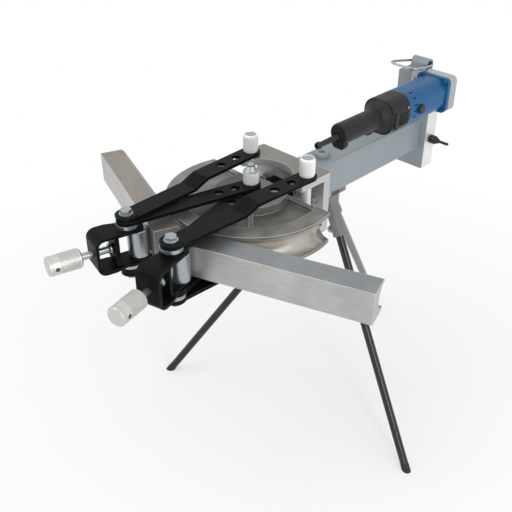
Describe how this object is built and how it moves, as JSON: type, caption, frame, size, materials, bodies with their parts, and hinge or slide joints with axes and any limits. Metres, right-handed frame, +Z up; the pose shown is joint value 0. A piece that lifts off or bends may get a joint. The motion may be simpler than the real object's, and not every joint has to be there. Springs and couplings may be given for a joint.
{
  "type": "hydraulic tube bender",
  "caption": "Electric hydraulic tube bender on a tripod: a ram pushes a grooved half-round shoe between two grooved follow bars on swinging arms.",
  "frame": {"origin": "middle of the outline on the floor, under the machine", "axes": "+Z up; the ram pushes along -X; +Y is the left side seen from the pump end"},
  "size_m": [1.1652, 0.8632, 0.8696],
  "materials": {
    "grey_paint": "satin",
    "machined_alloy": "machined",
    "bar_alloy": "brushed",
    "cast_shoe": "cast",
    "zinc": "zinc plated",
    "bright_steel": "ground",
    "dark_iron": "laminated",
    "knurled": "knurled",
    "bronze": "turned",
    "black_steel": "semi-gloss",
    "gear_alloy": "cast",
    "blue_plastic": "semi-gloss",
    "black_plastic": "matte",
    "rubber": "matte"
  },
  "bodies": {
    "frame": {"cylinder_body": "grey_paint", "back_plate": "grey_paint", "bending_head": "machined_alloy", "head_bolts": "zinc", "rod_gland": "bronze", "filler_plug": "grey_paint", "pump_block": "grey_paint", "block_bolts": "zinc", "bail_lug": "grey_paint", "gear_case": "gear_alloy", "case_screws": "zinc", "motor_housing": "blue_plastic", "flange_screws": "zinc", "brush_caps": "black_plastic", "stator": "dark_iron", "bearings": "bright_steel", "rear_housing": "black_plastic", "cord_sleeve": "rubber", "pump_plunger": "bright_steel", "leg_bracket": "grey_paint", "leg_left": "black_steel", "leg_right": "black_steel", "leg_rear": "grey_paint", "leg_lock_screws": "zinc", "foot_caps": "rubber"},
    "ram": {"ram_rod": "bright_steel", "piston": "bright_steel", "piston_seal": "rubber", "pusher_block": "black_steel", "bending_shoe": "cast_shoe"},
    "shoe_pin": {"shoe_pin": "knurled"},
    "head_pin_left": {"head_pin_left": "knurled"},
    "head_pin_right": {"head_pin_right": "knurled"},
    "bail": {"bail_handle": "zinc"},
    "valve": {"release_valve": "black_steel"},
    "trigger": {"trigger": "black_plastic"},
    "armature": {"armature": "bright_steel"},
    "eccentric": {"eccentric_shaft": "bright_steel"},
    "outer_left": {"outer_arms_left": "black_steel"},
    "wing_left": {"inner_arms_left": "black_steel"},
    "clevis_left": {"clevis_left": "black_steel", "clevis_bolts_left": "zinc", "bolt_washers_left": "black_steel"},
    "yoke_left": {"yoke_left": "black_steel", "roller_pin_left": "zinc"},
    "roller_left": {"roller_left": "zinc"},
    "screw_left": {"screw_left": "zinc", "knob_left": "knurled"},
    "bar_left": {"follow_bar_left": "bar_alloy"},
    "outer_right": {"outer_arms_right": "black_steel"},
    "wing_right": {"inner_arms_right": "black_steel"},
    "clevis_right": {"clevis_right": "black_steel", "clevis_bolts_right": "zinc", "bolt_washers_right": "black_steel"},
    "yoke_right": {"yoke_right": "black_steel", "roller_pin_right": "zinc"},
    "roller_right": {"roller_right": "zinc"},
    "screw_right": {"screw_right": "zinc", "knob_right": "knurled"},
    "bar_right": {"follow_bar_right": "bar_alloy"}
  },
  "joints": [
    {"name": "ram_slide", "type": "slide", "parent": "frame", "child": "ram", "axis": [-1, 0, 0], "range_m": [0, 0.09]},
    {"name": "shoe_pin_lift", "type": "slide", "parent": "ram", "child": "shoe_pin", "axis": [0, 0, 1], "range_m": [0, 0.15]},
    {"name": "head_pin_left_lift", "type": "slide", "parent": "frame", "child": "head_pin_left", "axis": [0, 0, 1], "range_m": [0, 0.2]},
    {"name": "outer_left_swing", "type": "hinge", "parent": "frame", "child": "outer_left", "pos_m": [-0.0158, 0.10509, 0.66], "axis": [0, 0, -1], "range_deg": [0, 29.5]},
    {"name": "wing_left_swing", "type": "hinge", "parent": "ram", "child": "wing_left", "pos_m": [-0.1048, 0.01409, 0.66], "axis": [0, 0, -1], "range_deg": [0, 43.5]},
    {"name": "clevis_left_swing", "type": "hinge", "parent": "wing_left", "child": "clevis_left", "pos_m": [-0.40138, 0.08804, 0.66], "axis": [0, 0, 1], "range_deg": [-8, 8]},
    {"name": "screw_left_turn", "type": "hinge", "parent": "yoke_left", "child": "screw_left", "pos_m": [-0.49292, 0.11086, 0.66], "axis": [-0.9703, 0.2419, 0], "range_deg": [0, 1818]},
    {"name": "yoke_left_slide", "type": "slide", "parent": "clevis_left", "child": "yoke_left", "axis": [-0.9703, 0.2419, 0], "range_m": [0, 0.01]},
    {"name": "roller_left_spin", "type": "hinge", "parent": "yoke_left", "child": "roller_left", "pos_m": [-0.38101, 0.08296, 0.66], "axis": [0, 0, 1], "continuous": true},
    {"name": "bar_left_slide", "type": "slide", "parent": "wing_left", "child": "bar_left", "axis": [0.342, 0.9397, 0], "range_m": [0, 0.04]},
    {"name": "head_pin_right_lift", "type": "slide", "parent": "frame", "child": "head_pin_right", "axis": [0, 0, 1], "range_m": [0, 0.2]},
    {"name": "outer_right_swing", "type": "hinge", "parent": "frame", "child": "outer_right", "pos_m": [-0.0158, -0.07691, 0.66], "axis": [0, 0, 1], "range_deg": [0, 29.5]},
    {"name": "wing_right_swing", "type": "hinge", "parent": "ram", "child": "wing_right", "pos_m": [-0.1048, 0.01409, 0.66], "axis": [0, 0, 1], "range_deg": [0, 43.5]},
    {"name": "clevis_right_swing", "type": "hinge", "parent": "wing_right", "child": "clevis_right", "pos_m": [-0.40138, -0.05985, 0.66], "axis": [0, 0, 1], "range_deg": [-8, 8]},
    {"name": "screw_right_turn", "type": "hinge", "parent": "yoke_right", "child": "screw_right", "pos_m": [-0.49292, -0.08267, 0.66], "axis": [-0.9703, -0.2419, 0], "range_deg": [0, 1818]},
    {"name": "yoke_right_slide", "type": "slide", "parent": "clevis_right", "child": "yoke_right", "axis": [-0.9703, -0.2419, 0], "range_m": [0, 0.01]},
    {"name": "roller_right_spin", "type": "hinge", "parent": "yoke_right", "child": "roller_right", "pos_m": [-0.38101, -0.05477, 0.66], "axis": [0, 0, 1], "continuous": true},
    {"name": "bar_right_slide", "type": "slide", "parent": "wing_right", "child": "bar_right", "axis": [0.342, -0.9397, 0], "range_m": [-0.01, 0.02]},
    {"name": "bail_swing", "type": "hinge", "parent": "frame", "child": "bail", "pos_m": [0.5312, 0.0036, 0.853], "axis": [0, 1, 0], "range_deg": [0, 150]},
    {"name": "valve_turn", "type": "hinge", "parent": "frame", "child": "valve", "pos_m": [0.5312, -0.06591, 0.65], "axis": [0, -1, 0], "range_deg": [0, 270]},
    {"name": "trigger_press", "type": "slide", "parent": "frame", "child": "trigger", "axis": [0, 0, 1], "range_m": [0, 0.006], "stiffness_N_per_m": 800, "springref_m": -0.002},
    {"name": "armature_spin", "type": "hinge", "parent": "frame", "child": "armature", "pos_m": [0.3982, -0.0739, 0.807], "axis": [1, 0, 0], "continuous": true},
    {"name": "eccentric_spin", "type": "hinge", "parent": "frame", "child": "eccentric", "pos_m": [0.4982, -0.0359, 0.807], "axis": [1, 0, 0], "continuous": true}
  ],
  "couplings": [
    {"joint": "outer_left_swing", "follows": "ram_slide", "rad_per_m": 5.7072},
    {"joint": "wing_left_swing", "follows": "ram_slide", "rad_per_m": 8.4299},
    {"joint": "screw_left_turn", "follows": "yoke_left_slide", "rad_per_m": 3141.6},
    {"joint": "outer_right_swing", "follows": "ram_slide", "rad_per_m": 5.7072},
    {"joint": "wing_right_swing", "follows": "ram_slide", "rad_per_m": 8.4299},
    {"joint": "screw_right_turn", "follows": "yoke_right_slide", "rad_per_m": 3141.6},
    {"joint": "eccentric_spin", "follows": "armature_spin", "ratio": -0.66667}
  ]
}
